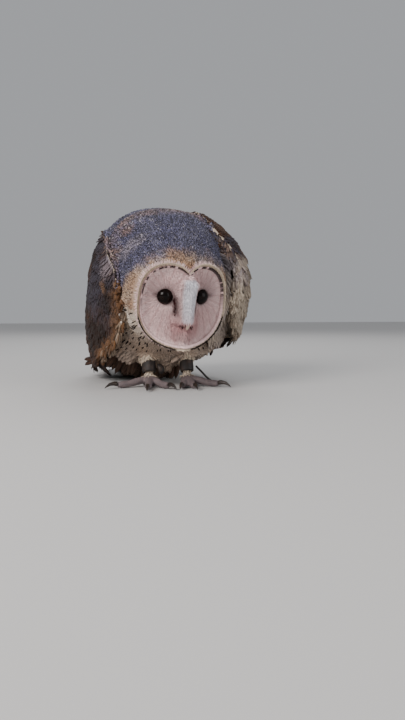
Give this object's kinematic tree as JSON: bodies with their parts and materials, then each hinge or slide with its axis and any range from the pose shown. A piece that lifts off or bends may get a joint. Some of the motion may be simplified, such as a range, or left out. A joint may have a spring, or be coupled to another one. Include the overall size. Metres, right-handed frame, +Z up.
{
  "type": "barn owl",
  "caption": "Life-size still model of a barn owl crouching with its head bowed, its wings a little drooped and short leather anklets on its legs.",
  "frame": {"origin": "on the floor, under the middle of the owl's length and width", "axes": "+Z up, the owl faces -Y, and its left side is towards +X"},
  "size_m": [0.1816, 0.3316, 0.1979],
  "materials": {
    "plumage_face": "matt",
    "plumage_grey": "matt",
    "plumage_white": "matt",
    "plumage_brown": "matt",
    "plumage_flight": "matt",
    "eye_dark": "wet gloss",
    "bill_horn": "satin",
    "toe_skin": "scaly",
    "claw_horn": "satin",
    "leather": "worn"
  },
  "bodies": {
    "root": {"head": "plumage_face", "bill_upper": "bill_horn", "bill_lower": "bill_horn", "neck": "plumage_grey", "trunk": "plumage_white", "tail": "plumage_flight", "wing_right": "plumage_brown", "flight_right": "plumage_flight", "wing_left": "plumage_brown", "flight_left": "plumage_flight", "eye_right": "eye_dark", "thigh_right": "plumage_white", "tarsus_right": "plumage_white", "anklet_right": "leather", "strap_right": "leather", "foot_right": "toe_skin", "toe_right_inner": "toe_skin", "claw_right_inner": "claw_horn", "toe_right_middle": "toe_skin", "claw_right_middle": "claw_horn", "toe_right_outer": "toe_skin", "claw_right_outer": "claw_horn", "toe_right_hind": "toe_skin", "claw_right_hind": "claw_horn", "eye_left": "eye_dark", "thigh_left": "plumage_white", "tarsus_left": "plumage_white", "anklet_left": "leather", "strap_left": "leather", "foot_left": "toe_skin", "toe_left_inner": "toe_skin", "claw_left_inner": "claw_horn", "toe_left_middle": "toe_skin", "claw_left_middle": "claw_horn", "toe_left_outer": "toe_skin", "claw_left_outer": "claw_horn", "toe_left_hind": "toe_skin", "claw_left_hind": "claw_horn"}
  },
  "joints": []
}
